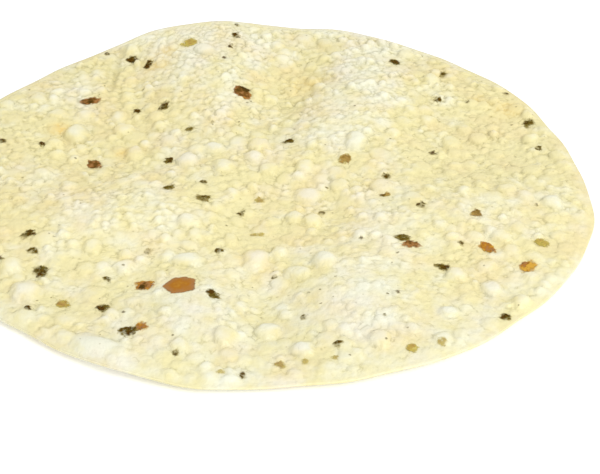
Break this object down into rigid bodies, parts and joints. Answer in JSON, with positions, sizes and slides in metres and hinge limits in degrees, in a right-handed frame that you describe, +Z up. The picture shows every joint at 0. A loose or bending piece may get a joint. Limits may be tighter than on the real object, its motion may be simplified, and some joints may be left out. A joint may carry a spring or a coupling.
{
  "type": "papadum",
  "caption": "Crisp fried lentil papadum: a thin, gently waved and slightly oval round, blistered all over, with chilli and pepper flakes set in its pale top.",
  "frame": {"origin": "middle of the papadum's box in plan, on the table that its low spots rest on", "axes": "+Z up through the thin way of the sheet; +Y towards the raised flap of the rim, +X along the longer way of the slightly oval outline"},
  "size_m": [0.1882, 0.1752, 0.0078],
  "materials": {
    "crust": "dry fried dough, matt with a slight oily sheen on the blisters, pale cream yellow",
    "chilli": "dried chilli skin, dark red to orange brown",
    "pepper": "crushed black pepper, rough and matt",
    "husk": "seed husk, golden olive"
  },
  "bodies": {
    "root": {"papadum": "crust"}
  },
  "joints": []
}
